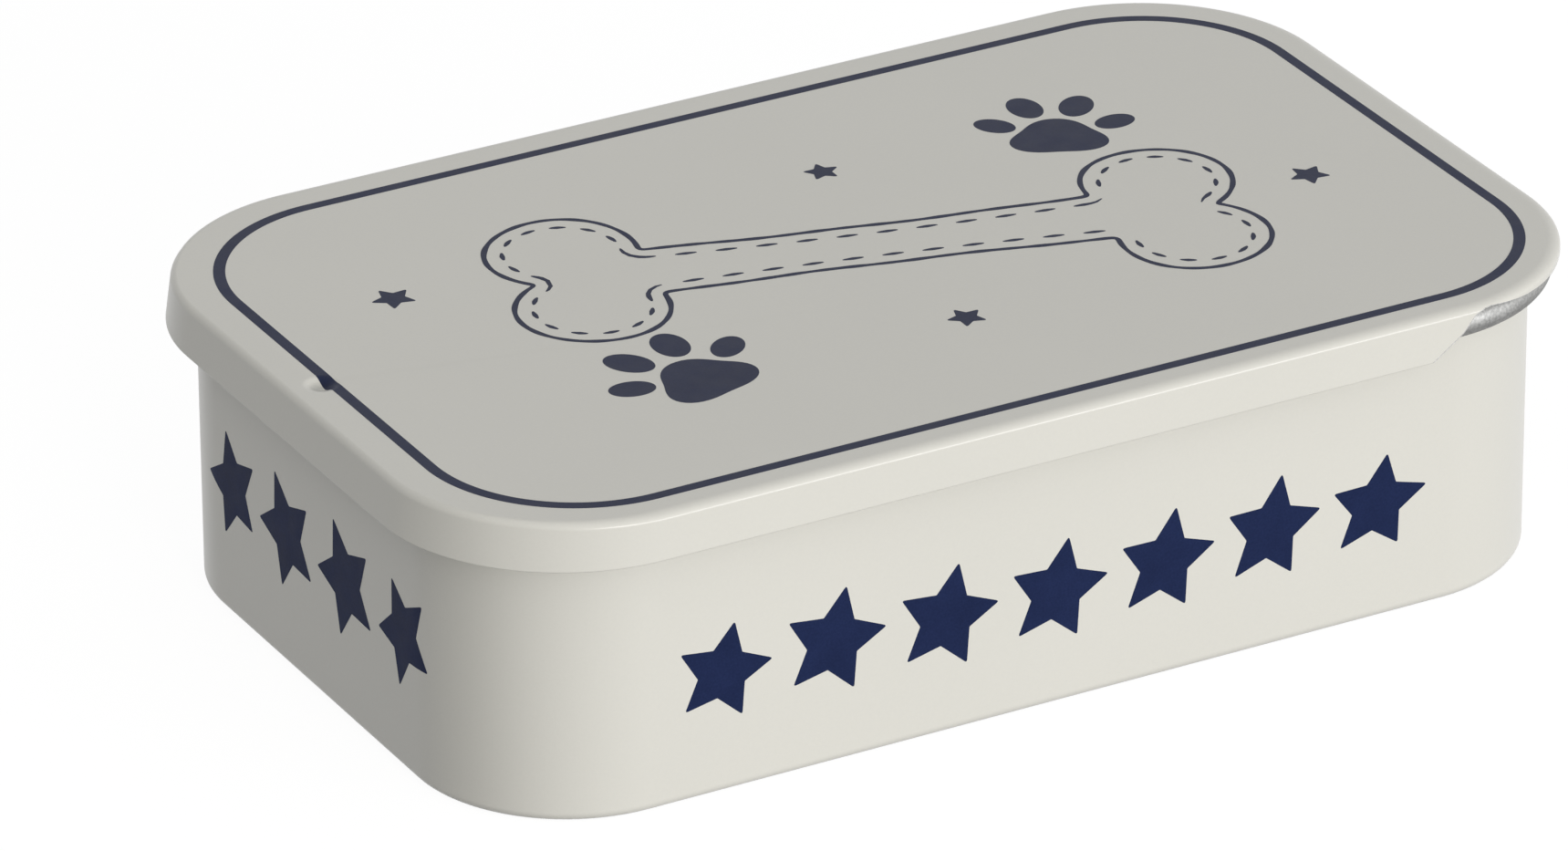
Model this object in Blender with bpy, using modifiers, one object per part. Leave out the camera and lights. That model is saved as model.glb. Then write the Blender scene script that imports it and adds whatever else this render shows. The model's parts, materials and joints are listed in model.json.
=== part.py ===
"""Hinged tin for dog treats: a drawn tinplate body with a curled rim, and a lid that turns on that rim.

Metres, +Z up. The origin is the middle of the base's underside, and +X runs to the hinge end.
"""

from math import acos, cos, pi, radians, sin

import bmesh
import bpy
from mathutils import Matrix, Vector

MM = 0.001

# Whole tin, closed
TIN_HEIGHT = 50.0 * MM
SHEET = 0.25 * MM

# Body, measured outside its walls
BODY_LENGTH = 183.8 * MM
BODY_WIDTH = 112.8 * MM
BODY_CORNER = 25.0 * MM
BASE_EDGE = 1.5 * MM

# Rim of the body, rolled outwards into a tube that is a little taller than wide
CURL_WIDTH = 3.9 * MM
CURL_HEIGHT = 4.6 * MM
CURL_END_GAP = 0.35 * MM

# Clearances from the curl: of the tabs round it, of the hem beside it, and of the lid's plate above it
CURL_CLEARANCE = 0.3 * MM
HEM_CLEARANCE = 0.2 * MM
PLATE_CLEARANCE = 0.8 * MM

# Lid, whose skirt hangs as far out as its hem and its tabs need
LID_EDGE = 1.7 * MM
LID_DEPTH = 7.5 * MM

# Hem folded inwards at the foot of the skirt
HEM_HEIGHT = 1.2 * MM
HEM_GAP = 0.1 * MM

# Relief cut that frees the lid round the hinge end. It reaches in from that end of the lid, and leaves a
# rim below the lid's top. Its edge runs in shares of that reach, and of the height from the skirt's foot.
RIM_DEPTH = 1.2 * MM
RELIEF_REACH = 35.25 * MM
RELIEF_SHARES = ((0, 0), (0.15, 0.59), (0.205, 0.95), (0.265, 1), (0.42, 0.96), (0.65, 0.91), (1, 0.91))

# Tabs that wrap round the curl, and the slots that they pass through
TAB_WIDTH = 12.0 * MM
TAB_SPACING = 40.0 * MM
TAB_STEP = 0.05 * MM
TAB_ROOT = radians(60)
TAB_END = radians(-200)
SLOT_CLEARANCE = 0.5 * MM
SLOT_MARGIN = 0.3 * MM

# Round dimple pressed into the lid at its opening end, just inside the curl
DIMPLE_INSET = 6.45 * MM
DIMPLE_RADIUS = 2.9 * MM
DIMPLE_DEPTH = 1.05 * MM
DIMPLE_ROW_SHARES = (-1, -0.5, 0, 0.5, 1)
DIMPLE_STOP_SHARES = (1, 0.75, 0.5, 0.25, 0, -0.25, -0.5, -0.75, -1)

# How far a cutter runs past what it cuts, in the open and inside the narrow gap beside the curl
CUT_OVERRUN = 2.0 * MM
SLOT_OVERRUN = 0.15 * MM

# Distance within which the seam of a closed sheet is welded
WELD = 0.01 * MM

# Faceting
CORNER_STEPS = 10
EDGE_STEPS = 6
BASE_STEPS = 4
CURL_STEPS = 14
FOLD_STEPS = 4
ROOT_STEPS = 4
WRAP_STEPS = 16
SHARP_ANGLE = radians(35)

HALF_SHEET = SHEET / 2
CURL_OFFSET = CURL_WIDTH / 2 - SHEET
TAB_INSIDE = max(CURL_WIDTH, CURL_HEIGHT) / 2 + CURL_CLEARANCE
TAB_OUTSIDE = TAB_INSIDE + SHEET
HEM_INSIDE = CURL_WIDTH / 2 + HEM_CLEARANCE
LID_OVERHANG = CURL_OFFSET + max(HEM_INSIDE + SHEET + HEM_GAP, TAB_INSIDE + TAB_STEP) + SHEET
LID_LENGTH = BODY_LENGTH + 2 * LID_OVERHANG
LID_WIDTH = BODY_WIDTH + 2 * LID_OVERHANG
LID_CORNER = BODY_CORNER + LID_OVERHANG
LID_FOOT = TIN_HEIGHT - LID_DEPTH
HINGE_AXIS = Vector(
    (BODY_LENGTH / 2 + CURL_OFFSET, 0, TIN_HEIGHT - SHEET - PLATE_CLEARANCE - CURL_HEIGHT / 2)
)

PAINT = (0.76, 0.75, 0.71, 1)
PAINT_ROUGHNESS = 0.38


def clear_scene():
    """Starts from an empty file."""
    for old in list(bpy.data.objects):
        bpy.data.objects.remove(old)


def new_collection(name):
    made = bpy.data.collections.new(name)
    bpy.context.scene.collection.children.link(made)
    return made


def painted_steel(name):
    """Cream paint baked on tinplate."""
    material = bpy.data.materials.new(name)
    material.use_nodes = True
    shader = material.node_tree.nodes["Principled BSDF"]
    shader.inputs["Base Color"].default_value = PAINT
    shader.inputs["Roughness"].default_value = PAINT_ROUGHNESS
    shader.inputs["Metallic"].default_value = 0
    return material


def oval(middle, half_width, half_height, start, end, steps):
    """Points along part of an oval in a section, as (offset, height), from one angle to the other."""
    turns = [start + (end - start) * step / steps for step in range(steps + 1)]
    return [
        (middle[0] + half_width * cos(turn), middle[1] + half_height * sin(turn)) for turn in turns
    ]


def arc(middle, radius, start, end, steps):
    """Points along an arc in a section."""
    return oval(middle, radius, radius, start, end, steps)


def outline(half_length, half_width, corner, end_stops=()):
    """Rounded rectangle seen from above, anticlockwise. The stops are extra points across the -X end."""
    points = []
    quarters = ((1, 1), (-1, 1), (-1, -1), (1, -1))
    for quarter, (side_x, side_y) in enumerate(quarters):
        middle = (side_x * (half_length - corner), side_y * (half_width - corner))
        start = quarter * pi / 2
        points += arc(middle, corner, start, start + pi / 2, CORNER_STEPS)
        if side_x < 0 < side_y:
            points += [(-half_length, stop) for stop in end_stops]
    return points


def rings_of(length, width, corner, section, end_stops=()):
    """One closed ring of points for each (offset, height) of the section, offset from the outer face."""
    rings = []
    for offset, height in section:
        flat = outline(length / 2 + offset, width / 2 + offset, corner + offset, end_stops)
        rings.append([Vector((x, y, height)) for x, y in flat])
    return rings


def add_object(name, bm, collection):
    """Links the mesh as an object in its place."""
    mesh = bpy.data.meshes.new(name)
    bm.to_mesh(mesh)
    bm.free()
    made = bpy.data.objects.new(name, mesh)
    collection.objects.link(made)
    return made


def wrapped_grid(rings, closed):
    """A grid primitive laid along the rings, one row of the grid to a ring."""
    bm = bmesh.new()
    across = len(rings[0]) if closed else len(rings[0]) - 1
    bmesh.ops.create_grid(bm, x_segments=across, y_segments=len(rings) - 1, size=1)
    for vert in bm.verts:
        column = round((vert.co.x + 1) / 2 * across)
        row = round((vert.co.y + 1) / 2 * (len(rings) - 1))
        vert.co = rings[row][column % len(rings[0])]
    if closed:
        bmesh.ops.remove_doubles(bm, verts=bm.verts, dist=WELD)
    return bm


def close_first_ring(bm, height):
    """Fills the flat panel inside the ring that lies at this height."""
    ring = [edge for edge in bm.edges if edge.is_boundary and all(
        abs(vert.co.z - height) < HALF_SHEET for vert in edge.verts)]
    bmesh.ops.contextual_create(bm, geom=ring)
    bmesh.ops.recalc_face_normals(bm, faces=bm.faces)


def thicken(made):
    """Gives the drawn surface the thickness of the sheet, half to each side."""
    solidify = made.modifiers.new("sheet", "SOLIDIFY")
    solidify.thickness = SHEET
    solidify.offset = 0
    solidify.use_even_offset = True


def combine(made, other, operation):
    """Cuts or joins another mesh, which stays editable."""
    boolean = made.modifiers.new(other.name, "BOOLEAN")
    boolean.operation = operation
    boolean.object = other
    boolean.solver = "EXACT"


def hide_helper(made):
    made.hide_render = True
    made.display_type = "WIRE"


def body_section():
    """Section of the body's sheet, along its middle: base, bottom edge, wall and curl."""
    base_edge = arc((-BASE_EDGE, BASE_EDGE), BASE_EDGE - HALF_SHEET, -pi / 2, 0, BASE_STEPS)
    half_width = CURL_WIDTH / 2 - HALF_SHEET
    half_height = CURL_HEIGHT / 2 - HALF_SHEET
    curl_end = -acos(-(CURL_OFFSET - CURL_END_GAP - HALF_SHEET) / half_width)
    curl = oval((CURL_OFFSET, HINGE_AXIS.z), half_width, half_height, pi, curl_end, CURL_STEPS)
    return base_edge + curl


def lid_section():
    """Section of the lid's sheet, along its middle: plate, top edge, skirt and hem."""
    plate = [
        (-DIMPLE_INSET + share * DIMPLE_RADIUS, TIN_HEIGHT - HALF_SHEET)
        for share in DIMPLE_ROW_SHARES
    ]
    edge = arc((-LID_EDGE, TIN_HEIGHT - LID_EDGE), LID_EDGE - HALF_SHEET, pi / 2, 0, EDGE_STEPS)
    fold_radius = (SHEET + HEM_GAP) / 2
    fold_middle = (-HALF_SHEET - fold_radius, LID_FOOT + HALF_SHEET + fold_radius)
    fold = arc(fold_middle, fold_radius, 0, -pi, FOLD_STEPS)
    leaf = [(fold_middle[0] - fold_radius, LID_FOOT + HEM_HEIGHT)]
    return plate + edge + fold + leaf


def press_dimple(rings):
    """Sinks the lid's plate in a round hollow at the middle of its opening end."""
    middle = Vector((DIMPLE_INSET - LID_LENGTH / 2, 0))
    for ring in rings[: len(DIMPLE_ROW_SHARES)]:
        for point in ring:
            reach = (point.xy - middle).length / DIMPLE_RADIUS
            point.z -= DIMPLE_DEPTH * cos(min(reach, 1) * pi / 2) ** 2


def tab_places():
    """Names of the two tabs, with the middle of each along the hinge."""
    return (("front", -TAB_SPACING / 2), ("rear", TAB_SPACING / 2))


def box_cutter(name, low, high, collection):
    """A box between two corners."""
    bm = bmesh.new()
    bmesh.ops.create_cube(bm, size=1)
    size = high - low
    bm.transform(Matrix.Translation((low + high) / 2) @ Matrix.Diagonal((*size, 1)))
    cutter = add_object(name, bm, collection)
    hide_helper(cutter)
    return cutter


def slot_cutter(side, middle, collection):
    """Window in the end wall under the curl, where one tab comes through."""
    wall = BODY_LENGTH / 2
    lowest = (TAB_OUTSIDE**2 - CURL_OFFSET**2) ** 0.5 + SLOT_MARGIN
    highest = (TAB_INSIDE**2 - (CURL_WIDTH / 2) ** 2) ** 0.5 - SLOT_MARGIN
    reach = TAB_WIDTH / 2 + SLOT_CLEARANCE
    low = Vector((wall - SHEET - CUT_OVERRUN, middle - reach, HINGE_AXIS.z - lowest))
    high = Vector((wall + SLOT_OVERRUN, middle + reach, HINGE_AXIS.z - highest))
    return box_cutter(f"slot_{side}", low, high, collection)


def relief_cutter(collection):
    """Takes the skirt off round the hinge end, and leaves a narrow rim that deepens towards the hinge."""
    foot = LID_LENGTH / 2 - RELIEF_REACH
    height = LID_DEPTH - RIM_DEPTH
    below = LID_FOOT - CUT_OVERRUN
    beyond = LID_LENGTH / 2 + CUT_OVERRUN
    edge = [(foot + along * RELIEF_REACH, LID_FOOT + up * height) for along, up in RELIEF_SHARES]
    side_view = [(foot, below), *edge, (beyond, edge[-1][1]), (beyond, below)]
    bm = bmesh.new()
    half_width = LID_WIDTH / 2 + CUT_OVERRUN
    face = bm.faces.new([bm.verts.new((x, -half_width, z)) for x, z in side_view])
    grown = bmesh.ops.extrude_face_region(bm, geom=[face])["geom"]
    moved = [part for part in grown if isinstance(part, bmesh.types.BMVert)]
    bmesh.ops.translate(bm, verts=moved, vec=(0, 2 * half_width, 0))
    bmesh.ops.recalc_face_normals(bm, faces=bm.faces)
    cutter = add_object("relief", bm, collection)
    hide_helper(cutter)
    return cutter


def hinge_tab(side, middle, collection):
    """Strip of the lid's sheet that follows its edge down, goes round the curl and in through its slot."""
    edge_middle = (LID_LENGTH / 2 - LID_EDGE, TIN_HEIGHT - LID_EDGE)
    root = arc(edge_middle, LID_EDGE - HALF_SHEET - TAB_STEP, TAB_ROOT, 0, ROOT_STEPS)
    wrap = arc((HINGE_AXIS.x, HINGE_AXIS.z), TAB_INSIDE + HALF_SHEET, 0, TAB_END, WRAP_STEPS)
    edges = (middle - TAB_WIDTH / 2, middle + TAB_WIDTH / 2)
    rows = [[Vector((x, y, z)) for y in edges] for x, z in root + wrap]
    tab = add_object(f"tab_{side}", wrapped_grid(rows, closed=False), collection)
    thicken(tab)
    hide_helper(tab)
    return tab


def make_body(parts, cutters, material):
    """Drawn tray with a flat base and a curled rim, slotted for the hinge."""
    rings = rings_of(BODY_LENGTH, BODY_WIDTH, BODY_CORNER, body_section())
    bm = wrapped_grid(rings, closed=True)
    close_first_ring(bm, HALF_SHEET)
    body = add_object("tin_body", bm, parts)
    thicken(body)
    for side, middle in tab_places():
        combine(body, slot_cutter(side, middle, cutters), "DIFFERENCE")
    body.data.materials.append(material)
    return body


def make_lid(parts, cutters, material):
    """Drawn cover, cut away at the hinge end, with its two tabs."""
    stops = [share * DIMPLE_RADIUS for share in DIMPLE_STOP_SHARES]
    rings = rings_of(LID_LENGTH, LID_WIDTH, LID_CORNER, lid_section(), stops)
    press_dimple(rings)
    bm = wrapped_grid(rings, closed=True)
    close_first_ring(bm, TIN_HEIGHT - HALF_SHEET)
    lid = add_object("lid", bm, parts)
    thicken(lid)
    combine(lid, relief_cutter(cutters), "DIFFERENCE")
    for side, middle in tab_places():
        combine(lid, hinge_tab(side, middle, cutters), "UNION")
    lid.data.materials.append(material)
    return lid


def hang_on_hinge(lid, parts):
    """Puts the lid's origin on the hinge axis, under an empty that turns it."""
    hinge = bpy.data.objects.new("lid_hinge", None)
    hinge.empty_display_size = CURL_WIDTH
    hinge.location = HINGE_AXIS
    parts.objects.link(hinge)
    lid.data.transform(Matrix.Translation(-HINGE_AXIS))
    lid.parent = hinge


def smooth(made):
    """Round stretches shade smooth, and real edges stay sharp."""
    made.data.shade_smooth()
    made.data.set_sharp_from_angle(angle=SHARP_ANGLE)


def main():
    clear_scene()
    parts = new_collection("dog_treat_tin")
    cutters = new_collection("cutters")
    cutters.hide_render = True
    body = make_body(parts, cutters, painted_steel("body_paint"))
    lid = make_lid(parts, cutters, painted_steel("lid_paint"))
    for made in (body, lid):
        smooth(made)
    hang_on_hinge(lid, parts)


main()
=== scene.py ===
"""Looks of the hinged tin: its sheets and their paint, the prints, the light and the camera.

Metres, +Z up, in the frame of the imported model. +X runs to the hinge end, and -Y is the front.
"""

import json
from math import acos, atan2, ceil, copysign, cos, hypot, pi, radians, sin

import bmesh
import bpy
from mathutils import Matrix, Vector


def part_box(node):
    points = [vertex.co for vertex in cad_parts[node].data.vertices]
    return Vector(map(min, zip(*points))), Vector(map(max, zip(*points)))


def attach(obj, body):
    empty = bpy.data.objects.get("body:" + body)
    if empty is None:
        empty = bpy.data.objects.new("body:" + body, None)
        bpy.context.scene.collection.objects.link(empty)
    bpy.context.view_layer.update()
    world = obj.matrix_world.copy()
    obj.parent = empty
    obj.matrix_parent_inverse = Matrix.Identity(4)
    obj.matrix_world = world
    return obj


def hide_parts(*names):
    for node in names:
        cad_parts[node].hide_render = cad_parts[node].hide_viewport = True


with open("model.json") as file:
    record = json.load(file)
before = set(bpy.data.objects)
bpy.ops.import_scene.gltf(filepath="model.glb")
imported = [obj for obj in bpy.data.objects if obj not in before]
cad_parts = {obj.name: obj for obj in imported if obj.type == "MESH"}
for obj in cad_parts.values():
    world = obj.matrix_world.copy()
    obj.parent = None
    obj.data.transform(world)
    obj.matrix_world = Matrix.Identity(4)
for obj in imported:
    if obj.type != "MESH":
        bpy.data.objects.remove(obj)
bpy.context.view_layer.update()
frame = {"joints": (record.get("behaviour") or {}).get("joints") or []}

MM = 0.001

# Sheet, and the paint on its outer face, which is keyed a little into it
SHEET = 0.25 * MM
FILM = 0.03 * MM
COAT = 0.04 * MM

# Prints lie half in the paint and half above it
PRINT = 0.04 * MM

# Rim of the body, rolled outwards
CURL_WIDTH = 3.9 * MM
CURL_HEIGHT = 4.6 * MM
CURL_END_GAP = 0.35 * MM
CURL_CLEARANCE = 0.3 * MM

# Corners, edges and hem of the body and the lid
BODY_CORNER = 25.0 * MM
BASE_EDGE = 1.5 * MM
LID_EDGE_WIDTH = 1.9 * MM
LID_EDGE_HEIGHT = 1.0 * MM
HEM_HEIGHT = 1.2 * MM
HEM_GAP = 0.1 * MM

# The lid's skirt leans out to its foot round the opening end, so that its top edge lies further in
# there. The lean grows over a share of the end's corners.
OPENING_LEAN = 1.0 * MM
LEAN_CORNER_SHARE = 0.7

# Relief cut at the hinge end, along which the paint stops short of the sheet's raw edge. The strip of
# bare metal left there is partly the bare cut edge and partly a painted shade line along the cut
RIM_DEPTH = 1.2 * MM
RAW_EDGE_SHADE_LINE = 0.12 * MM
RELIEF_REACH = 35.25 * MM
RELIEF_SHARES = (
    (0, 0), (0.15, 0.59), (0.205, 0.95), (0.225, 1.02), (0.255, 1.07), (0.29, 1.08), (0.33, 1.065),
    (0.38, 1.03), (0.44, 0.985), (0.5, 0.95), (0.65, 0.91), (1, 0.91),
)

# Tabs round the curl, and their slots
TAB_WIDTH = 12.0 * MM
TAB_SPACING = 40.0 * MM
TAB_STEP = 0.05 * MM
TAB_ROOT = radians(60)
TAB_END = radians(-200)
SLOT_CLEARANCE = 0.5 * MM
SLOT_MARGIN = 0.3 * MM
CUT_OVERRUN = 2.0 * MM
SLOT_OVERRUN = 0.15 * MM

# Round dimple at the opening end of the lid
DIMPLE_INSET = 6.45 * MM
DIMPLE_RADIUS = 2.9 * MM
DIMPLE_DEPTH = 1.05 * MM
DIMPLE_ROWS = 24
DIMPLE_STOPS = 24

# A row of points beside each rounded edge keeps the flat beyond it flat
GUARD = 0.1 * MM
WELD = 0.002 * MM

# Smoothness of the curves
CORNER_STEPS = 36
EDGE_STEPS = 14
BASE_STEPS = 10
CURL_STEPS = 40
FOLD_STEPS = 10
WRAP_STEPS = 48
SHARP_ANGLE = radians(35)

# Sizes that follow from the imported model
HINGE_AXIS = Vector(frame["joints"][0]["pos_m"])
lid_low, lid_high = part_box("lid")
TIN_HEIGHT = lid_high.z
LID_LENGTH = lid_high.x - lid_low.x
LID_WIDTH = lid_high.y - lid_low.y
LID_FOOT = lid_low.z
CURL_OFFSET = CURL_WIDTH / 2 - SHEET
BODY_LENGTH = 2 * (HINGE_AXIS.x - CURL_OFFSET)
LID_OVERHANG = (LID_LENGTH - BODY_LENGTH) / 2
BODY_WIDTH = LID_WIDTH - 2 * LID_OVERHANG
LID_CORNER = BODY_CORNER + LID_OVERHANG
TAB_INSIDE = max(CURL_WIDTH, CURL_HEIGHT) / 2 + CURL_CLEARANCE
TAB_OUTSIDE = TAB_INSIDE + SHEET

# Border line printed on the lid, a little off its middle
BORDER_MIDDLE = (0.81 * MM, -0.67 * MM)
BORDER_LENGTH = 180.72 * MM
BORDER_WIDTH = 111.26 * MM
BORDER_CORNER = 24.68 * MM
BORDER_STROKE = 1.81 * MM
BORDER_COLUMNS = 6

# Stars on the walls: place along the wall from its middle, height, half width, half height, turn
# of the top tip from upright, anticlockwise, and lean
STAR_TIPS = 5
STAR_INNER_SHARE = 0.505
STAR_TIP_RADIUS = 0.28 * MM
STAR_TIP_STEPS = 4
STAR_SIDE_SHARE = 1 / 3
STAR_BEND_STEP = 1.2 * MM
LONG_SIDE_STARS = (
    (-55.0, 19.6, 8.2, 8.1, -15.9, -0.3),
    (-36.8, 19.85, 8.8, 8.9, -15.2, -0.2),
    (-18.1, 18.9, 8.8, 8.8, -14.1, -0.1),
    (0.4, 18.5, 8.7, 8.7, -11.9, 0.15),
    (18.7, 18.7, 8.55, 8.75, -9.4, 0.4),
    (36.8, 19.4, 8.5, 8.9, -8.2, 0.5),
    (55.0, 19.0, 8.65, 8.15, -7.6, 0.5),
)
END_STARS = (
    (-26.4, 22.2, 8.0, 9.2, 21.3, 1.0),
    (-8.9, 22.3, 8.9, 9.7, 24.4, 0.15),
    (10.0, 22.8, 9.1, 9.8, 25.5, 0.35),
    (28.2, 22.5, 7.9, 9.1, 31.4, 0.85),
)

# Drawing on the lid: a stitched bone between two paw prints, with small stars
PEN = 0.85 * MM
PEN_STEP = 0.4 * MM
PEN_SWELL_SHARE = 0.16
PEN_SWELL_WAVES = (17 * MM, 6.3 * MM)
PEN_WOBBLE = 0.14 * MM
PEN_WOBBLE_WAVE = 23 * MM
PEN_TAPER = 2.2 * MM
PEN_END_SHARE = 0.25
BONE_MIDDLE = (3.0 * MM, 1.0 * MM)
BONE_TURN = radians(-14)
BONE_REACH = 46.0 * MM
KNOB_RADIUS = 11.5 * MM
KNOB_SPREAD = 9.5 * MM
KNOB_STEPS = 40
SHAFT_HALF = 7.5 * MM
SHAFT_WAIST = 1.0 * MM
SHAFT_SHARES = (0.8, 0.6, 0.4, 0.2, 0, -0.2, -0.4, -0.6, -0.8)
BONE_SMOOTHINGS = 6
STITCH_INSET = 2.6 * MM
STITCH_POINTS = 9
STITCH_PITCH = 15

# Pad of a paw print, and its toes as the direction in degrees, reach and size in shares of its radius
PAD_LOBES = 3
PAD_LOBE_SHARE = 0.13
PAD_HALF_SHARES = (1.12, 0.92)
TOE_SHARES = ((152, 1.62, 0.36), (110, 1.8, 0.41), (70, 1.8, 0.41), (28, 1.62, 0.36))
TOE_LENGTH_SHARE = 1.45
BLOB_STEPS = 60
PAWS = (
    ((-41.0 * MM, -26.0 * MM), 6.8 * MM, radians(16)),
    ((45.0 * MM, 20.0 * MM), 6.4 * MM, radians(-24)),
)
SMALL_STARS = (
    ((-68.0 * MM, 20.0 * MM), 3.6 * MM, radians(12)),
    ((8.0 * MM, 27.0 * MM), 3.0 * MM, radians(-10)),
    ((71.0 * MM, -10.0 * MM), 3.4 * MM, radians(20)),
    ((2.0 * MM, -27.0 * MM), 3.2 * MM, radians(8)),
)

# Colours and gloss of paint, ink and metal, and the share of its colour that metal keeps as painted
# shade where it faces down
PAINT_COLOUR = (0.72, 0.71, 0.655)
PAINT_GLOSS = 0.5
BODY_INK = (0.015, 0.024, 0.074)
BODY_INK_GLOSS = 0.03
LID_INK = (0.014, 0.02, 0.055)
LID_INK_GLOSS = 0.12
TINPLATE = (0.42, 0.42, 0.412)
BODY_PAINTED_SHADE_SHARE = 0.55
LID_PAINTED_SHADE_SHARE = 0.9

# Mottling: the size and detail of its grains, and the values that it runs between
PAINT_CLOUDS = (34 * MM, 2, 0.992, 1.008)
PAINT_SPECKS = (0.45 * MM, 2, 0.99, 1.01)
PAINT_ROUGHNESS = (5 * MM, 3, 0.285, 0.31)
INK_CLOUDS = (6 * MM, 3, 0.9, 1.1)
INK_SPECKS = (0.35 * MM, 2, 0.88, 1.12)
INK_ROUGHNESS = (3 * MM, 3, 0.36, 0.46)
METAL_GRAINS = (0.4 * MM, 3, 0.72, 1.28)
METAL_CLOUDS = (7 * MM, 3, 0.9, 1.1)
METAL_ROUGHNESS = (0.8 * MM, 4, 0.56, 0.64)

# Bumps: the size and detail of their grains, their stretch along each axis, and their depth
EVEN = (1, 1, 1)
PAINT_PEEL = (0.9 * MM, 1, EVEN, 0.0015 * MM)
PAINT_DENTS = (30 * MM, 0, EVEN, 0.02 * MM)
INK_PEEL = (0.7 * MM, 1, EVEN, 0.004 * MM)
METAL_LINES = (0.5 * MM, 3, (1, 1, 0.04), 0.006 * MM)
METAL_PITS = (0.6 * MM, 3, EVEN, 0.008 * MM)

# Spans of a noise's usual values, and of the turn from faces that look down, in full painted shade, to
# those that look up
NOISE_RANGE = (0.25, 0.75)
FACING_RANGE = (-0.3, 0.3)

# Camera: turned round the tin from its front, and raised above the horizon
CAMERA_TARGET = Vector((-14.19, -0.96, 25.0)) * MM
CAMERA_DISTANCE = 1679.65 * MM
CAMERA_AZIMUTH = radians(-28.935)
CAMERA_ELEVATION = radians(26.51)
CAMERA_ROLL = radians(-0.295)
CAMERA_LENS = 259.91
CAMERA_SENSOR = 36.0

# Light: two wide lamps low in front, of which the right one draws the edges, and a pale room. Each lamp
# has a direction, a width, a height, a power and a colour.
LAMP_DISTANCE = 2.2
LAMPS = {
    "key": (Vector((-0.05, -1, 0.22)), 0.9, 0.45, 20.3, (1, 0.98, 0.945)),
    "edge": (Vector((0.45, -0.9, 0.1)), 0.9, 0.25, 16.0, (0.98, 0.985, 1)),
}
ROOM_LIGHT = 0.49
FLOOR_SIZE = 12.0
FLOOR_COLOUR = (0.14, 0.14, 0.14)
FLOOR_SEEN_COLOUR = (0.14, 0.14, 0.14)
FLOOR_SEEN_GLOW = 0.925


def oval(middle, half_width, half_height, start, end, steps):
    """Points along part of an oval, as (offset, height), from one angle to the other."""
    turns = [start + (end - start) * step / steps for step in range(steps + 1)]
    return [
        (middle[0] + half_width * cos(turn), middle[1] + half_height * sin(turn)) for turn in turns
    ]


def arc(middle, radius, start, end, steps):
    """Points along an arc."""
    return oval(middle, radius, radius, start, end, steps)


def outline(half_length, half_width, corner, end_stops=()):
    """Rounded rectangle seen from above, anticlockwise. The stops are extra points across the -X end."""
    points = []
    quarters = ((1, 1), (-1, 1), (-1, -1), (1, -1))
    for quarter, (side_x, side_y) in enumerate(quarters):
        middle = (side_x * (half_length - corner), side_y * (half_width - corner))
        start = quarter * pi / 2
        points += arc(middle, corner, start, start + pi / 2, CORNER_STEPS)
        if side_x < 0 < side_y:
            points += [(-half_length, stop) for stop in end_stops]
    return points


def rings_of(length, width, corner, section, end_stops=()):
    """One closed ring of points for each (offset, height) of the section, offset from the outer face."""
    rings = []
    for offset, height in section:
        flat = outline(length / 2 + offset, width / 2 + offset, corner + offset, end_stops)
        rings.append([Vector((x, y, height)) for x, y in flat])
    return rings


def wrapped_grid(rings, closed):
    """A grid laid along the rings, one row of the grid to a ring."""
    bm = bmesh.new()
    across = len(rings[0]) if closed else len(rings[0]) - 1
    bmesh.ops.create_grid(bm, x_segments=across, y_segments=len(rings) - 1, size=1)
    for vert in bm.verts:
        column = round((vert.co.x + 1) / 2 * across)
        row = round((vert.co.y + 1) / 2 * (len(rings) - 1))
        vert.co = rings[row][column % len(rings[0])]
    if closed:
        bmesh.ops.remove_doubles(bm, verts=bm.verts, dist=WELD)
    return bm


def close_first_ring(bm, height):
    """Fills the flat panel inside the ring that lies at this height."""
    ring = [
        edge
        for edge in bm.edges
        if edge.is_boundary and all(abs(vert.co.z - height) < WELD for vert in edge.verts)
    ]
    bmesh.ops.contextual_create(bm, geom=ring)
    bmesh.ops.recalc_face_normals(bm, faces=bm.faces)


def add_object(name, bm):
    """Links the mesh as an object in its place."""
    mesh = bpy.data.meshes.new(name)
    bm.to_mesh(mesh)
    bm.free()
    made = bpy.data.objects.new(name, mesh)
    bpy.context.scene.collection.objects.link(made)
    return made


def thicken(made, thickness):
    """Gives a surface its thickness, half to each side."""
    solidify = made.modifiers.new("thickness", "SOLIDIFY")
    solidify.thickness = thickness
    solidify.offset = 0
    solidify.use_even_offset = True


def combine(made, other, operation):
    """Cuts or joins another mesh."""
    boolean = made.modifiers.new(other.name, "BOOLEAN")
    boolean.operation = operation
    boolean.object = other
    boolean.solver = "EXACT"


def settle(made, helpers=()):
    """Applies the modifiers, removes their helpers, and shades round stretches smooth."""
    bpy.context.view_layer.update()
    drawn = made.data
    evaluated = made.evaluated_get(bpy.context.evaluated_depsgraph_get())
    made.data = bpy.data.meshes.new_from_object(evaluated)
    made.modifiers.clear()
    bpy.data.meshes.remove(drawn)
    for helper in helpers:
        bpy.data.objects.remove(helper)
    made.data.shade_smooth()
    made.data.set_sharp_from_angle(angle=SHARP_ANGLE)


def fit_piece(made, body, material, node=None):
    """Gives a piece its finish, and fixes it to the body that it moves with."""
    made.data.materials.clear()
    made.data.materials.append(material)
    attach(made, body)
    if node:
        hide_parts(node)


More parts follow.
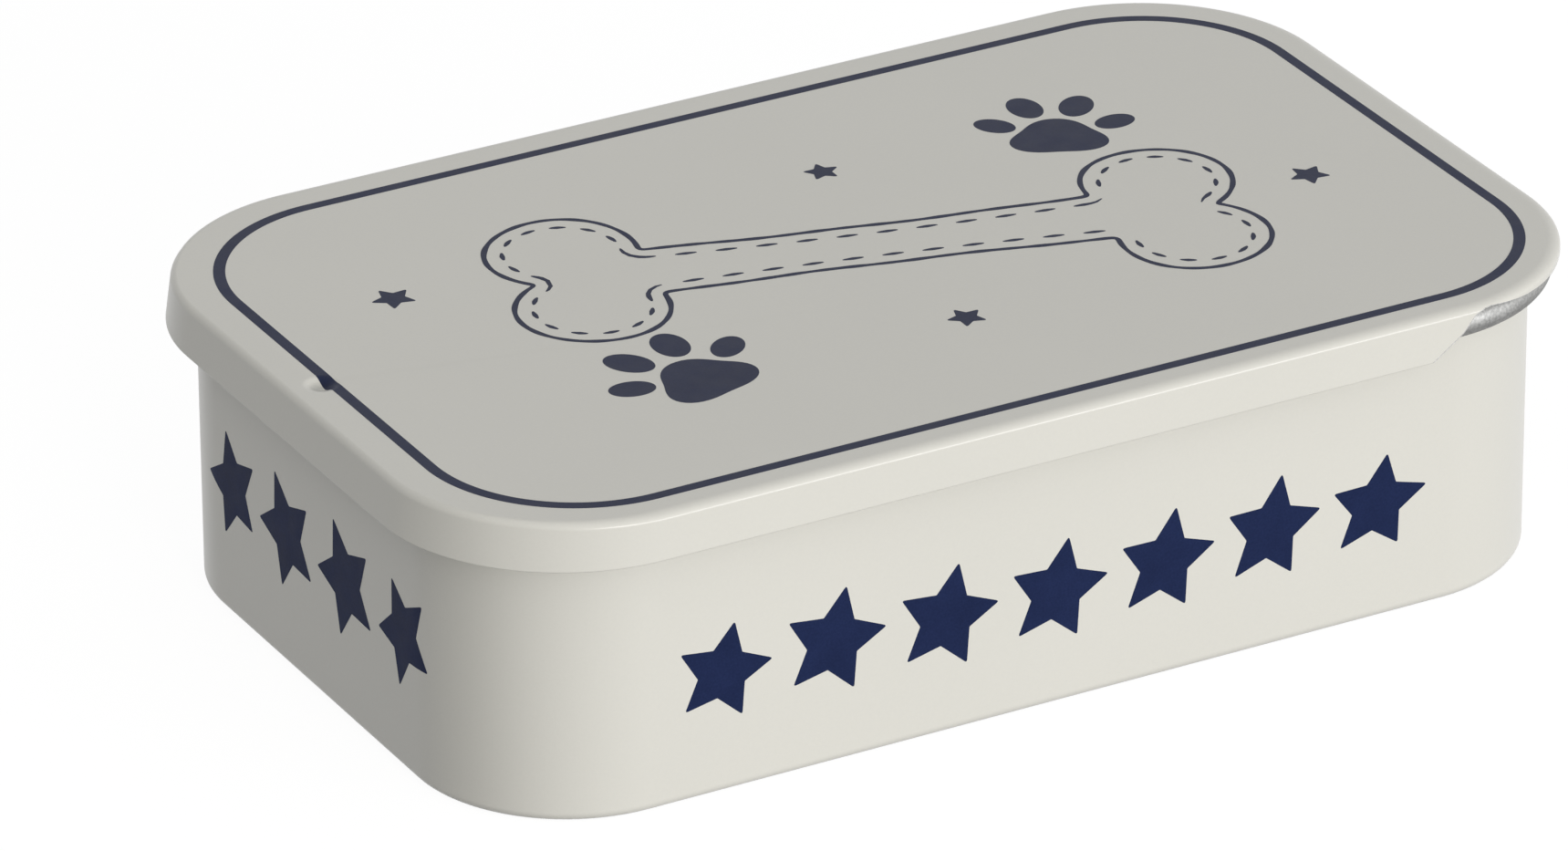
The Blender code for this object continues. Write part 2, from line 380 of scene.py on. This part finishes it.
def body_section(deep):
    """Base, bottom edge, wall and curl of the body, at a depth under its painted face."""
    base_edge = arc((-BASE_EDGE, BASE_EDGE), BASE_EDGE - deep, -pi / 2, 0, BASE_STEPS)
    base = [(-BASE_EDGE - GUARD, deep)]
    wall = [(-deep, BASE_EDGE + GUARD), (-deep, HINGE_AXIS.z - GUARD)]
    half_width = CURL_WIDTH / 2 - SHEET + deep
    half_height = CURL_HEIGHT / 2 - SHEET + deep
    curl_end = -acos(-(CURL_OFFSET - CURL_END_GAP - SHEET / 2) / (CURL_WIDTH / 2 - SHEET / 2))
    curl = oval((CURL_OFFSET, HINGE_AXIS.z), half_width, half_height, pi, curl_end, CURL_STEPS)
    return base + base_edge + wall + curl


def lid_edge(start, deep, first_turn):
    """Top edge of the lid, which falls gently from the plate and then turns down into the skirt."""
    middle = (start, TIN_HEIGHT - LID_EDGE_HEIGHT)
    return oval(middle, LID_EDGE_WIDTH - deep, LID_EDGE_HEIGHT - deep, first_turn, 0, EDGE_STEPS)


def lid_section(deep):
    """Plate, top edge, skirt and hem of the lid, at a depth under its painted face."""
    plate = [
        (-DIMPLE_INSET + (2 * row / DIMPLE_ROWS - 1) * DIMPLE_RADIUS, TIN_HEIGHT - deep)
        for row in range(DIMPLE_ROWS + 1)
    ]
    plate.append((-LID_EDGE_WIDTH - GUARD, TIN_HEIGHT - deep))
    edge = lid_edge(-LID_EDGE_WIDTH, deep, pi / 2)
    hem_radius = SHEET + HEM_GAP / 2
    skirt = [(-deep, TIN_HEIGHT - LID_EDGE_HEIGHT - GUARD), (-deep, LID_FOOT + hem_radius + GUARD)]
    fold = arc((-hem_radius, LID_FOOT + hem_radius), hem_radius - deep, 0, -pi, FOLD_STEPS)
    leaf = [(deep - 2 * hem_radius, LID_FOOT + HEM_HEIGHT)]
    return plate + edge + skirt + fold + leaf


def lean_share(x, offset, height, deep):
    """Share of the lean at a place, which grows over the edge and round the opening end's corners."""
    round_corner = max(0, -x - (LID_LENGTH / 2 - LID_CORNER)) / LID_CORNER
    up_skirt = (height - LID_FOOT) / (TIN_HEIGHT - LID_FOOT)
    over_edge = 1
    if height > TIN_HEIGHT - LID_EDGE_HEIGHT:
        over_edge = max(0, offset + LID_EDGE_WIDTH) / (LID_EDGE_WIDTH - deep)
    return min(1, round_corner / LEAN_CORNER_SHARE) * up_skirt * over_edge


def lid_rings(deep):
    """The rings of the lid's section at a depth, which lean inwards at the opening end."""
    stops = dimple_stops()
    section = lid_section(deep)
    inner = [(offset - OPENING_LEAN, height) for offset, height in section]
    upright = rings_of(LID_LENGTH, LID_WIDTH, LID_CORNER, section, stops)
    leaning = rings_of(LID_LENGTH, LID_WIDTH, LID_CORNER, inner, stops)
    return [
        [at.lerp(to, lean_share(at.x, offset, height, deep)) for at, to in zip(ring, inner_ring)]
        for (offset, height), ring, inner_ring in zip(section, upright, leaning)
    ]


def dimple_at(x, y):
    """How far the lid's plate is pressed down at a place."""
    reach = hypot(x + LID_LENGTH / 2 - DIMPLE_INSET, y) / DIMPLE_RADIUS
    return DIMPLE_DEPTH * cos(min(reach, 1) * pi / 2) ** 2


def dimple_stops():
    """Stops across the opening end that follow the dimple."""
    return [(1 - 2 * stop / DIMPLE_STOPS) * DIMPLE_RADIUS for stop in range(DIMPLE_STOPS + 1)]


def tab_places():
    """The middle of each of the two tabs along the hinge."""
    return (-TAB_SPACING / 2, TAB_SPACING / 2)


def slot_cutter(middle):
    """Window in the end wall under the curl, where one tab comes through."""
    wall = BODY_LENGTH / 2
    lowest = (TAB_OUTSIDE**2 - CURL_OFFSET**2) ** 0.5 + SLOT_MARGIN
    highest = (TAB_INSIDE**2 - (CURL_WIDTH / 2) ** 2) ** 0.5 - SLOT_MARGIN
    reach = TAB_WIDTH / 2 + SLOT_CLEARANCE
    low = Vector((wall - SHEET - CUT_OVERRUN, middle - reach, HINGE_AXIS.z - lowest))
    high = Vector((wall + SLOT_OVERRUN, middle + reach, HINGE_AXIS.z - highest))
    bm = bmesh.new()
    bmesh.ops.create_cube(bm, size=1)
    bm.transform(Matrix.Translation((low + high) / 2) @ Matrix.Diagonal((*(high - low), 1)))
    return add_object("slot", bm)


def relief_cutter(margin):
    """Takes the skirt off round the hinge end, and leaves a narrow rim. The margin widens the cut."""
    foot = LID_LENGTH / 2 - RELIEF_REACH - margin
    height = TIN_HEIGHT - RIM_DEPTH - LID_FOOT
    below = LID_FOOT - CUT_OVERRUN
    beyond = LID_LENGTH / 2 + CUT_OVERRUN
    edge = [
        (foot + along * RELIEF_REACH, LID_FOOT + up * height + margin) for along, up in RELIEF_SHARES
    ]
    side_view = [(foot, below), *edge, (beyond, edge[-1][1]), (beyond, below)]
    bm = bmesh.new()
    half_width = LID_WIDTH / 2 + CUT_OVERRUN
    face = bm.faces.new([bm.verts.new((x, -half_width, z)) for x, z in side_view])
    grown = bmesh.ops.extrude_face_region(bm, geom=[face])["geom"]
    moved = [part for part in grown if isinstance(part, bmesh.types.BMVert)]
    bmesh.ops.translate(bm, verts=moved, vec=(0, 2 * half_width, 0))
    bmesh.ops.recalc_face_normals(bm, faces=bm.faces)
    return add_object("relief", bm)


def hinge_tab(middle, deep, thickness):
    """Strip that follows the lid's edge down, goes round the curl and in through its slot."""
    root = lid_edge(LID_LENGTH / 2 - LID_EDGE_WIDTH, TAB_STEP + deep, TAB_ROOT)
    wrap = arc((HINGE_AXIS.x, HINGE_AXIS.z), TAB_OUTSIDE - deep, 0, TAB_END, WRAP_STEPS)
    edges = (middle - TAB_WIDTH / 2, middle + TAB_WIDTH / 2)
    rows = [[Vector((x, y, z)) for y in edges] for x, z in root + wrap]
    tab = add_object("tab", wrapped_grid(rows, closed=False))
    thicken(tab, thickness)
    return tab


def layer_of_body(name, outer, inner):
    """One layer of the body's sheet, between two depths under its painted face."""
    deep = (outer + inner) / 2
    bm = wrapped_grid(rings_of(BODY_LENGTH, BODY_WIDTH, BODY_CORNER, body_section(deep)), closed=True)
    close_first_ring(bm, deep)
    made = add_object(name, bm)
    thicken(made, inner - outer)
    helpers = [slot_cutter(middle) for middle in tab_places()]
    for helper in helpers:
        combine(made, helper, "DIFFERENCE")
    settle(made, helpers)
    return made


def layer_of_lid(name, outer, inner, margin):
    """One layer of the lid and its tabs, between two depths, cut back by a margin at the relief."""
    deep = (outer + inner) / 2
    rings = lid_rings(deep)
    for ring in rings[: DIMPLE_ROWS + 1]:
        for point in ring:
            point.z -= dimple_at(point.x, point.y)
    bm = wrapped_grid(rings, closed=True)
    close_first_ring(bm, TIN_HEIGHT - deep)
    made = add_object(name, bm)
    thicken(made, inner - outer)
    relief = relief_cutter(margin)
    combine(made, relief, "DIFFERENCE")
    tabs = [hinge_tab(middle, deep, inner - outer) for middle in tab_places()]
    for tab in tabs:
        combine(made, tab, "UNION")
    settle(made, [relief, *tabs])
    return made


def rounded(points, radius):
    """A closed outline with each of its corners rounded."""
    made = []
    for place, corner in enumerate(points):
        back = points[place - 1] - corner
        ahead = points[(place + 1) % len(points)] - corner
        half_turn = back.angle(ahead) / 2
        longest = min(back.length, ahead.length) * STAR_SIDE_SHARE
        reach = min(radius * cos(half_turn) / sin(half_turn), longest)
        start = corner + back.normalized() * reach
        end = corner + ahead.normalized() * reach
        for step in range(STAR_TIP_STEPS + 1):
            share = step / STAR_TIP_STEPS
            made.append(
                start * (1 - share) ** 2 + corner * 2 * share * (1 - share) + end * share**2
            )
    return made


def star(half_width, half_height, turn, lean=0):
    """A five-pointed star, turned anticlockwise from upright."""
    points = []
    for corner in range(2 * STAR_TIPS):
        angle = pi / 2 + turn + corner * pi / STAR_TIPS
        reach = 1 if corner % 2 == 0 else STAR_INNER_SHARE
        x = reach * cos(angle)
        y = reach * sin(angle)
        points.append(Vector((half_width * x + lean * y, half_height * y)))
    return rounded(points, STAR_TIP_RADIUS)


def filled(shapes):
    """Flat faces inside closed outlines."""
    bm = bmesh.new()
    for shape in shapes:
        bm.faces.new([bm.verts.new((point[0], point[1], 0)) for point in shape])
    bm.normal_update()
    return bm


def cut_across(bm, start, end, step):
    """Adds rows of edges across flat faces, so that they can bend."""
    for cut in range(ceil((end - start) / step) + 1):
        geometry = [*bm.verts, *bm.edges, *bm.faces]
        place = (start + cut * step, 0, 0)
        bmesh.ops.bisect_plane(bm, geom=geometry, dist=WELD, plane_co=place, plane_no=(1, 0, 0))


def wall_place(along, half_along, half_out):
    """Place on the body's outer face, seen from above, at a distance along a wall that faces -Y."""
    straight = half_along - BODY_CORNER
    turn = max(0, abs(along) - straight) / BODY_CORNER
    x = copysign(min(abs(along), straight) + BODY_CORNER * sin(turn), along)
    return x, -(half_out - BODY_CORNER) - BODY_CORNER * cos(turn)


def wall_stars(name, table, half_along, half_out, quarter_turns, material):
    """A row of stars printed on one wall, which go round with its corners."""
    shapes = []
    for along, height, half_width, half_height, turn, lean in table:
        middle = Vector((along, height)) * MM
        shape = star(half_width * MM, half_height * MM, radians(turn), lean * MM)
        shapes.append([middle + point for point in shape])
    bm = filled(shapes)
    reach = max(abs(vert.co.x) for vert in bm.verts)
    cut_across(bm, -reach, -(half_along - BODY_CORNER), STAR_BEND_STEP)
    cut_across(bm, half_along - BODY_CORNER, reach, STAR_BEND_STEP)
    bmesh.ops.triangulate(bm, faces=bm.faces)
    for vert in bm.verts:
        x, y = wall_place(vert.co.x, half_along, half_out)
        vert.co = (x, y, vert.co.y)
    bm.transform(Matrix.Rotation(quarter_turns * pi / 2, 4, "Z"))
    made = add_object(name, bm)
    thicken(made, PRINT)
    settle(made)
    fit_piece(made, "tin", material)


def border_line(material):
    """Border line of the lid, which dips with the dimple."""
    stops = [stop - BORDER_MIDDLE[1] for stop in dimple_stops()]
    rings = []
    for column in range(BORDER_COLUMNS + 1):
        inset = BORDER_STROKE * column / BORDER_COLUMNS
        flat = outline(
            BORDER_LENGTH / 2 - inset, BORDER_WIDTH / 2 - inset, BORDER_CORNER - inset, stops
        )
        ring = []
        for flat_x, flat_y in flat:
            x = flat_x + BORDER_MIDDLE[0]
            y = flat_y + BORDER_MIDDLE[1]
            ring.append(Vector((x, y, TIN_HEIGHT - dimple_at(x, y))))
        rings.append(ring)
    made = add_object("border_line", wrapped_grid(rings, closed=True))
    thicken(made, PRINT)
    settle(made)
    fit_piece(made, "cover", material)


def even_path(points, closed):
    """The same path with points at even steps."""
    ends = points[1:] + points[:1] if closed else points[1:]
    made = []
    for start, end in zip(points, ends):
        steps = max(1, round((end - start).length / PEN_STEP))
        made += [start.lerp(end, step / steps) for step in range(steps)]
    return made if closed else made + [points[-1]]


def smoothed(path, passes):
    """A closed path with its corners worn round."""
    for _ in range(passes):
        path = [
            (path[place - 1] + path[place] * 2 + path[(place + 1) % len(path)]) / 4
            for place in range(len(path))
        ]
    return path


def left_of(path, place, closed):
    """Direction to the left of a path at one of its points."""
    if closed:
        ahead = path[(place + 1) % len(path)] - path[place - 1]
    else:
        ahead = path[min(place + 1, len(path) - 1)] - path[max(place - 1, 0)]
    return Vector((-ahead.y, ahead.x)).normalized()


def stroke(path, closed):
    """Pen line along a path, as a ribbon that swells and wobbles a little, and tapers at open ends."""
    rows = [[], [], []]
    for place, point in enumerate(path):
        across = left_of(path, place, closed)
        turn = place * PEN_STEP * 2 * pi
        slow, quick = (sin(turn / wave) for wave in PEN_SWELL_WAVES)
        width = PEN * (1 + PEN_SWELL_SHARE * slow * quick)
        if not closed:
            to_end = min(place, len(path) - 1 - place) * PEN_STEP
            width *= PEN_END_SHARE + (1 - PEN_END_SHARE) * min(1, to_end / PEN_TAPER) ** 0.5
        middle = point + across * PEN_WOBBLE * sin(turn / PEN_WOBBLE_WAVE)
        for row, side in zip(rows, (-0.5, 0, 0.5)):
            at = middle + across * width * side
            row.append(Vector((at.x, at.y, 0)))
    return wrapped_grid(rows, closed)


def bone_path():
    """Outline of the bone, anticlockwise."""
    reach = (KNOB_RADIUS**2 - KNOB_SPREAD**2) ** 0.5
    notch = atan2(-KNOB_SPREAD, reach)
    drop = KNOB_SPREAD - SHAFT_HALF
    shoulder = pi + atan2(drop, (KNOB_RADIUS**2 - drop**2) ** 0.5)
    knob = [
        Vector(point)
        for point in arc((BONE_REACH, KNOB_SPREAD), KNOB_RADIUS, notch, shoulder, KNOB_STEPS)
    ]
    shaft = [
        Vector((knob[-1].x * share, SHAFT_HALF - SHAFT_WAIST * (1 - share**2)))
        for share in SHAFT_SHARES
    ]
    upper = knob + shaft + [Vector((-point.x, point.y)) for point in reversed(knob)]
    return smoothed(even_path(upper + [-point for point in upper], True), BONE_SMOOTHINGS)


def bone_strokes():
    """Pen line round the bone, and a row of stitches inside it."""
    path = bone_path()
    inner = [path[place] + left_of(path, place, True) * STITCH_INSET for place in range(len(path))]
    stitches = [
        stroke(inner[start : start + STITCH_POINTS], False)
        for start in range(0, len(inner) - STITCH_POINTS, STITCH_PITCH)
    ]
    return [stroke(path, True), *stitches]


def blob(middle, along, across):
    """An oval outline, whose two half axes are given as vectors."""
    turns = [2 * pi * step / BLOB_STEPS for step in range(BLOB_STEPS)]
    return [middle + along * cos(turn) + across * sin(turn) for turn in turns]


def paw_shapes(radius):
    """Outlines of a paw print's pad and of its four toes."""
    pad = []
    for step in range(BLOB_STEPS):
        turn = 2 * pi * step / BLOB_STEPS
        reach = radius * (1 + PAD_LOBE_SHARE * cos(PAD_LOBES * (turn - pi / 2)))
        pad.append(Vector((PAD_HALF_SHARES[0] * cos(turn), PAD_HALF_SHARES[1] * sin(turn))) * reach)
    shapes = [pad]
    for direction, reach, size in TOE_SHARES:
        out = Vector((cos(radians(direction)), sin(radians(direction)))) * radius
        across = Vector((-out.y, out.x))
        shapes.append(blob(out * reach, out * size * TOE_LENGTH_SHARE, across * size))
    return shapes


def merge(meshes):
    """One mesh of several."""
    bm = bmesh.new()
    for part in meshes:
        mesh = bpy.data.meshes.new("part")
        part.to_mesh(mesh)
        part.free()
        bm.from_mesh(mesh)
        bpy.data.meshes.remove(mesh)
    return bm


def print_on_lid(name, bm, middle, turn, material):
    """Lays a flat drawing on the lid's plate."""
    bmesh.ops.triangulate(bm, faces=[face for face in bm.faces if len(face.verts) > 4])
    bm.transform(Matrix.Translation((*middle, TIN_HEIGHT)) @ Matrix.Rotation(turn, 4, "Z"))
    made = add_object(name, bm)
    thicken(made, PRINT)
    settle(made)
    fit_piece(made, "cover", material)


def new_material(name):
    """A material with its shader."""
    material = bpy.data.materials.new(name)
    material.use_nodes = True
    return material, material.node_tree, material.node_tree.nodes["Principled BSDF"]


def noise(tree, size, detail, stretch):
    """Noise with grains of a size, fixed to the piece."""
    place = tree.nodes.new("ShaderNodeTexCoord")
    mapping = tree.nodes.new("ShaderNodeMapping")
    mapping.inputs["Scale"].default_value = stretch
    made = tree.nodes.new("ShaderNodeTexNoise")
    made.inputs["Scale"].default_value = 1 / size
    made.inputs["Detail"].default_value = detail
    tree.links.new(place.outputs["Object"], mapping.inputs["Vector"])
    tree.links.new(mapping.outputs["Vector"], made.inputs["Vector"])
    return made.outputs["Fac"]


def between(tree, factor, span, low, high):
    """A value that runs from low to high while a factor runs over a span."""
    made = tree.nodes.new("ShaderNodeMapRange")
    made.inputs["From Min"].default_value = span[0]
    made.inputs["From Max"].default_value = span[1]
    made.inputs["To Min"].default_value = low
    made.inputs["To Max"].default_value = high
    tree.links.new(factor, made.inputs["Value"])
    return made.outputs["Result"]


def mottled(tree, size, detail, low, high):
    """A value that varies between low and high in grains."""
    return between(tree, noise(tree, size, detail, EVEN), NOISE_RANGE, low, high)


def shade(tree, colour, factors):
    """A colour made lighter and darker by factors."""
    current = None
    for factor in factors:
        scale = tree.nodes.new("ShaderNodeVectorMath")
        scale.operation = "SCALE"
        if current is None:
            scale.inputs[0].default_value = colour
        else:
            tree.links.new(current, scale.inputs[0])
        tree.links.new(factor, scale.inputs["Scale"])
        current = scale.outputs["Vector"]
    return current


def lay_surface(tree, shader, colour, roughness, bumps):
    """Links a shader to its colour and to its mottled roughness, and lays bumps over each other."""
    tree.links.new(colour, shader.inputs["Base Color"])
    tree.links.new(mottled(tree, *roughness), shader.inputs["Roughness"])
    normal = None
    for size, detail, stretch, depth in bumps:
        bump = tree.nodes.new("ShaderNodeBump")
        bump.inputs["Strength"].default_value = 1
        bump.inputs["Distance"].default_value = depth
        tree.links.new(noise(tree, size, detail, stretch), bump.inputs["Height"])
        if normal is not None:
            tree.links.new(normal, bump.inputs["Normal"])
        normal = bump.outputs["Normal"]
    tree.links.new(normal, shader.inputs["Normal"])


def paint_material():
    """Cream stoving paint with a satin face: faint clouds, fine specks and a slight peel."""
    material, tree, shader = new_material("cream_paint")
    factors = (mottled(tree, *PAINT_CLOUDS), mottled(tree, *PAINT_SPECKS))
    colour = shade(tree, PAINT_COLOUR, factors)
    lay_surface(tree, shader, colour, PAINT_ROUGHNESS, (PAINT_PEEL, PAINT_DENTS))
    shader.inputs["Specular IOR Level"].default_value = PAINT_GLOSS
    return material


def ink_material(name, ink, gloss):
    """Printed navy ink, a little uneven."""
    material, tree, shader = new_material(name)
    factors = (mottled(tree, *INK_CLOUDS), mottled(tree, *INK_SPECKS))
    lay_surface(tree, shader, shade(tree, ink, factors), INK_ROUGHNESS, (INK_PEEL,))
    shader.inputs["Specular IOR Level"].default_value = gloss
    return material


def facing_up(tree):
    """How far up a face of the piece looks, from -1 for down to 1 for up."""
    place = tree.nodes.new("ShaderNodeTexCoord")
    parts = tree.nodes.new("ShaderNodeSeparateXYZ")
    tree.links.new(place.outputs["Normal"], parts.inputs["Vector"])
    return parts.outputs["Z"]


def tinplate_material(name, underside):
    """Bare tinplate: mottled grains, drawn lines up the walls, a dull shine, and painted shade that
    darkens the faces that look down.
    """
    material, tree, shader = new_material(name)
    # Painted shade: faces that look down keep only a share of the metal's colour, standing in for the
    # darker reflections that they would show.
    painted_underside_shade = between(tree, facing_up(tree), FACING_RANGE, underside, 1)
    factors = (mottled(tree, *METAL_GRAINS), mottled(tree, *METAL_CLOUDS), painted_underside_shade)
    lay_surface(tree, shader, shade(tree, TINPLATE, factors), METAL_ROUGHNESS, (METAL_LINES, METAL_PITS))
    shader.inputs["Metallic"].default_value = 1
    return material


def seen_directly(tree):
    """1 for rays from the camera and for reflections, which see the white room, and 0 for the light."""
    path = tree.nodes.new("ShaderNodeLightPath")
    total = path.outputs["Is Camera Ray"]
    for ray in ("Is Glossy Ray", "Is Transmission Ray"):
        either = tree.nodes.new("ShaderNodeMath")
        either.operation = "MAXIMUM"
        tree.links.new(total, either.inputs[0])
        tree.links.new(path.outputs[ray], either.inputs[1])
        total = either.outputs["Value"]
    return total


def make_floor():
    """Pale floor that reads as white and keeps the tin's shadow."""
    bm = bmesh.new()
    bmesh.ops.create_grid(bm, x_segments=1, y_segments=1, size=FLOOR_SIZE / 2)
    floor = add_object("floor", bm)
    material = bpy.data.materials.new("floor")
    material.use_nodes = True
    tree = material.node_tree
    tree.nodes.clear()
    matt = tree.nodes.new("ShaderNodeBsdfDiffuse")
    matt.inputs["Color"].default_value = (*FLOOR_COLOUR, 1)
    seen = tree.nodes.new("ShaderNodeBsdfDiffuse")
    seen.inputs["Color"].default_value = (*FLOOR_SEEN_COLOUR, 1)
    glow = tree.nodes.new("ShaderNodeEmission")
    glow.inputs["Strength"].default_value = FLOOR_SEEN_GLOW
    add = tree.nodes.new("ShaderNodeAddShader")
    mix = tree.nodes.new("ShaderNodeMixShader")
    output = tree.nodes.new("ShaderNodeOutputMaterial")
    tree.links.new(seen.outputs["BSDF"], add.inputs[0])
    tree.links.new(glow.outputs["Emission"], add.inputs[1])
    tree.links.new(seen_directly(tree), mix.inputs["Fac"])
    tree.links.new(matt.outputs["BSDF"], mix.inputs[1])
    tree.links.new(add.outputs["Shader"], mix.inputs[2])
    tree.links.new(mix.outputs["Shader"], output.inputs["Surface"])
    floor.data.materials.append(material)


def make_room():
    """Even light from all round, which the camera sees as white."""
    world = bpy.data.worlds.new("room")
    bpy.context.scene.world = world
    world.use_nodes = True
    tree = world.node_tree
    tree.nodes.clear()
    light = tree.nodes.new("ShaderNodeBackground")
    light.inputs["Strength"].default_value = ROOM_LIGHT
    white = tree.nodes.new("ShaderNodeBackground")
    mix = tree.nodes.new("ShaderNodeMixShader")
    output = tree.nodes.new("ShaderNodeOutputWorld")
    for backdrop in (light, white):
        backdrop.inputs["Color"].default_value = (1, 1, 1, 1)
    tree.links.new(seen_directly(tree), mix.inputs["Fac"])
    tree.links.new(light.outputs["Background"], mix.inputs[1])
    tree.links.new(white.outputs["Background"], mix.inputs[2])
    tree.links.new(mix.outputs["Shader"], output.inputs["Surface"])


def make_lamp(name, direction, width, height, power, colour):
    """A soft lamp aimed at the middle of the tin's base."""
    lamp = bpy.data.lights.new(name, "AREA")
    lamp.shape = "RECTANGLE"
    lamp.size = width
    lamp.size_y = height
    lamp.energy = power
    lamp.color = colour
    made = bpy.data.objects.new(name, lamp)
    bpy.context.scene.collection.objects.link(made)
    made.location = direction.normalized() * LAMP_DISTANCE
    made.rotation_mode = "QUATERNION"
    made.rotation_quaternion = direction.to_track_quat("Z", "Y")
    made.visible_camera = False


def make_camera():
    """The camera at the photograph's viewing angle."""
    lens = bpy.data.cameras.new("camera")
    lens.sensor_fit = "HORIZONTAL"
    lens.sensor_width = CAMERA_SENSOR
    lens.lens = CAMERA_LENS
    camera = bpy.data.objects.new("camera", lens)
    bpy.context.scene.collection.objects.link(camera)
    turn = (
        Matrix.Rotation(CAMERA_AZIMUTH, 4, "Z")
        @ Matrix.Rotation(pi / 2 - CAMERA_ELEVATION, 4, "X")
        @ Matrix.Rotation(CAMERA_ROLL, 4, "Z")
    )
    away = turn.to_3x3() @ Vector((0, 0, CAMERA_DISTANCE))
    camera.matrix_world = Matrix.Translation(CAMERA_TARGET + away) @ turn
    bpy.context.scene.camera = camera


make_camera()
make_floor()
make_room()
for lamp_name, settings in LAMPS.items():
    make_lamp(lamp_name, *settings)
bpy.context.scene.view_settings.view_transform = "Standard"

paint = paint_material()
body_tinplate = tinplate_material("body_tinplate", BODY_PAINTED_SHADE_SHARE)
lid_tinplate = tinplate_material("lid_tinplate", LID_PAINTED_SHADE_SHARE)
body_ink = ink_material("body_ink", BODY_INK, BODY_INK_GLOSS)
lid_ink = ink_material("lid_ink", LID_INK, LID_INK_GLOSS)

fit_piece(layer_of_body("body_sheet", FILM, SHEET), "tin", body_tinplate, "tin_body")
fit_piece(layer_of_body("body_coat", 0, COAT), "tin", paint, "tin_body")
fit_piece(layer_of_lid("lid_sheet", FILM, SHEET, 0), "cover", lid_tinplate, "lid")
# The lid's paint stops short of the relief cut, and the bare metal strip left there serves as a painted
# shade line.
fit_piece(layer_of_lid("lid_coat", 0, COAT, RAW_EDGE_SHADE_LINE), "cover", paint, "lid")

half_length = BODY_LENGTH / 2
half_width = BODY_WIDTH / 2
wall_stars("stars_front", LONG_SIDE_STARS, half_length, half_width, 0, body_ink)
wall_stars("stars_hinge_end", END_STARS, half_width, half_length, 1, body_ink)
wall_stars("stars_rear", LONG_SIDE_STARS, half_length, half_width, 2, body_ink)
wall_stars("stars_opening_end", END_STARS, half_width, half_length, 3, body_ink)
border_line(lid_ink)
print_on_lid("bone_print", merge(bone_strokes()), BONE_MIDDLE, BONE_TURN, lid_ink)
for number, (middle, radius, turn) in enumerate(PAWS):
    print_on_lid(f"paw_print_{number + 1}", filled(paw_shapes(radius)), middle, turn, lid_ink)
for number, (middle, radius, turn) in enumerate(SMALL_STARS):
    print_on_lid(f"lid_star_{number + 1}", filled([star(radius, radius, 0)]), middle, turn, lid_ink)
